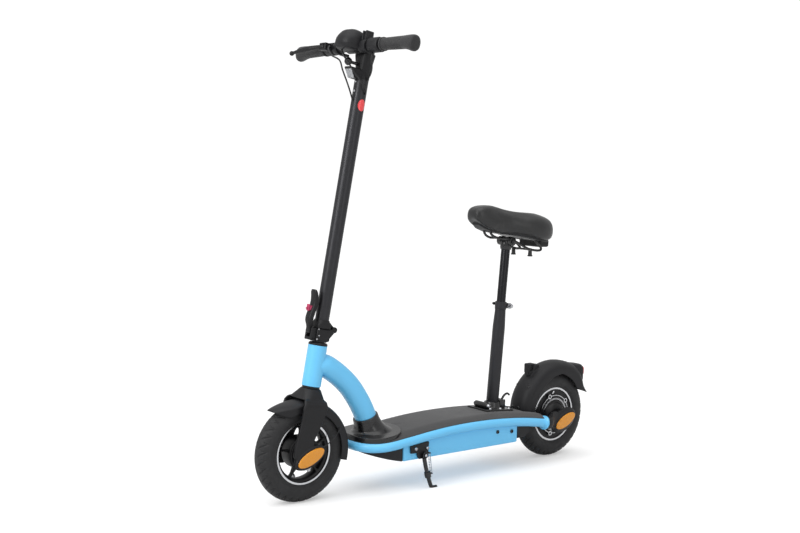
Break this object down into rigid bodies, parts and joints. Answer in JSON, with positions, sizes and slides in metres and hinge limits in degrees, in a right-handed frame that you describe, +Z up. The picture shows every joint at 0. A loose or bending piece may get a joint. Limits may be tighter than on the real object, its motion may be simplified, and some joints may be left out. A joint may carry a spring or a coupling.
{
  "type": "electric scooter",
  "caption": "Two-wheeled electric kick scooter with a seat post and saddle, folding stem, hooped tube frame, air tyres, hub motor, fenders and a kickstand.",
  "frame": {"origin": "centre of the footprint on the ground, at the level of the tyres' lowest point", "axes": "+X forward, +Y to the scooter's left, +Z up; the scooter leans 2.4 degrees to its left onto its kickstand"},
  "size_m": [1.177, 0.4978, 1.1881],
  "materials": {
    "blue_frame": "smooth light-blue paint",
    "blue_box": "smooth light-blue paint",
    "black_metal": "satin black paint",
    "black_steel": "satin black paint",
    "black_tube": "satin black",
    "black_plastic": "fine matt grain",
    "black_rim": "black paint",
    "tyre_rubber": "ribbed tread",
    "grip_rubber": "soft matt",
    "deck_rubber": "matt, lightly ribbed",
    "bright_steel": "bright",
    "orange_reflector": "clear orange",
    "red_lens": "clear red",
    "red_catch": "dark red",
    "clear_lens": "clear, ribbed",
    "dark_glass": "dark and glossy",
    "black_leather": "fine grain",
    "cable_black": "black jacket"
  },
  "bodies": {
    "chassis": {"frame": "blue_frame", "deck_mat": "deck_rubber", "battery_box": "blue_box", "front_cover": "black_plastic", "rear_cover": "black_plastic", "neck_boot": "black_plastic", "headset": "black_steel", "rear_axle": "bright_steel", "rear_arm_left": "black_metal", "rear_arm_right": "black_metal", "rear_reflector_left": "orange_reflector", "rear_reflector_right": "orange_reflector", "rear_fender": "black_plastic", "tail_lens": "red_lens", "kickstand_bracket": "black_steel", "seat_mount": "black_steel", "seat_tube": "black_tube", "seat_collar": "bright_steel"},
    "steering": {"fork": "black_metal", "front_fender": "black_plastic", "front_reflector_left": "orange_reflector", "front_reflector_right": "orange_reflector", "front_axle": "bright_steel", "brake_plate": "black_metal", "front_brake_wire": "cable_black", "hinge_base": "black_metal"},
    "stem": {"hinge_top": "black_metal", "stem_tube": "black_tube", "handlebar": "black_metal", "grip_left": "grip_rubber", "grip_right": "grip_rubber", "display_housing": "black_plastic", "display_window": "dark_glass", "headlamp_housing": "black_plastic", "headlamp_lens": "clear_lens", "horn": "black_plastic", "brake_perch": "black_metal", "switch_pod": "black_plastic", "brake_cable": "cable_black", "signal_cable": "cable_black", "switch_cable": "cable_black"},
    "front_wheel_body": {"front_tyre": "tyre_rubber", "front_wheel": "black_rim"},
    "rear_wheel_body": {"rear_tyre": "tyre_rubber", "rear_hub": "black_rim"},
    "brake_cam": {"brake_arm": "bright_steel"},
    "hand_lever": {"brake_lever": "black_metal"},
    "thumb_throttle": {"throttle": "black_plastic"},
    "button": {"horn_button": "red_catch"},
    "stand": {"kickstand_leg": "black_steel", "kickstand_spring": "bright_steel"},
    "clamp_lever": {"seat_lever": "black_metal"},
    "mount_grab": {"mount_handle": "black_steel"},
    "fold_latch": {"latch_lever": "black_metal"},
    "fold_catch": {"safety_catch": "red_catch"},
    "post": {"seat_post": "black_tube", "saddle_clamp": "black_steel"},
    "saddle": {"saddle_rails": "black_steel", "saddle_base": "black_plastic", "saddle_cushion": "black_leather"}
  },
  "joints": [
    {"name": "steering", "type": "hinge", "parent": "chassis", "child": "steering", "pos_m": [0.43217, -0.03556, 0.29139], "axis": [-0.1737, 0.0412, 0.9839], "range_deg": [-45, 45]},
    {"name": "stem_fold", "type": "hinge", "parent": "steering", "child": "stem", "pos_m": [0.3764, -0.02969, 0.43131], "axis": [0, -0.9991, 0.0419], "range_deg": [0, 45]},
    {"name": "front_wheel_spin", "type": "hinge", "parent": "steering", "child": "front_wheel_body", "pos_m": [0.46384, -0.04249, 0.12609], "axis": [0, 0.9991, -0.0419], "continuous": true},
    {"name": "rear_wheel_spin", "type": "hinge", "parent": "chassis", "child": "rear_wheel_body", "pos_m": [-0.42316, -0.04249, 0.12609], "axis": [0, 0.9991, -0.0419], "continuous": true},
    {"name": "brake_squeeze", "type": "hinge", "parent": "stem", "child": "hand_lever", "pos_m": [0.34704, -0.09953, 1.15308], "axis": [0.1737, -0.0412, -0.9839], "range_deg": [0, 12], "stiffness_Nm_per_rad": 2, "springref_deg": -5.73},
    {"name": "brake_cam_turn", "type": "hinge", "parent": "steering", "child": "brake_cam", "pos_m": [0.48234, -0.0437, 0.09712], "axis": [0, 0.9991, -0.0419], "range_deg": [0, 12]},
    {"name": "throttle_push", "type": "hinge", "parent": "stem", "child": "thumb_throttle", "pos_m": [0.32045, 0.00019, 1.14421], "axis": [0, -0.9991, 0.0419], "range_deg": [0, 40], "stiffness_Nm_per_rad": 0.1, "springref_deg": -17.19},
    {"name": "horn_press", "type": "slide", "parent": "stem", "child": "button", "axis": [0.9848, 0.0073, 0.1735], "range_m": [0, 0.001], "stiffness_N_per_m": 600, "springref_m": -0.001},
    {"name": "stand_swing", "type": "hinge", "parent": "chassis", "child": "stand", "pos_m": [0.13084, 0.05151, 0.08812], "axis": [0, 0.9991, -0.0419], "range_deg": [0, 62]},
    {"name": "clamp_swing", "type": "hinge", "parent": "chassis", "child": "clamp_lever", "pos_m": [-0.23677, -0.02856, 0.45848], "axis": [0, 0.9991, -0.0419], "range_deg": [0, 110]},
    {"name": "mount_handle_lift", "type": "hinge", "parent": "chassis", "child": "mount_grab", "pos_m": [-0.22676, -0.04014, 0.18204], "axis": [0, 0.9991, -0.0419], "range_deg": [0, 50]},
    {"name": "latch_open", "type": "hinge", "parent": "steering", "child": "fold_latch", "pos_m": [0.44071, -0.02963, 0.4329], "axis": [0, 0.9991, -0.0419], "range_deg": [0, 60]},
    {"name": "catch_turn", "type": "hinge", "parent": "fold_latch", "child": "fold_catch", "pos_m": [0.43787, -0.02727, 0.48922], "axis": [0, 0.9991, -0.0419], "range_deg": [0, 15], "stiffness_Nm_per_rad": 0.05, "springref_deg": -11.46},
    {"name": "post_slide", "type": "slide", "parent": "chassis", "child": "post", "axis": [-0.0743, 0.0418, 0.9964], "range_m": [-0.1, 0.05]},
    {"name": "saddle_tilt", "type": "hinge", "parent": "post", "child": "saddle", "pos_m": [-0.22702, -0.02079, 0.64381], "axis": [0, 0.9991, -0.0419], "range_deg": [-6, 6]}
  ],
  "couplings": [
    {"joint": "brake_cam_turn", "follows": "brake_squeeze", "ratio": 1}
  ]
}
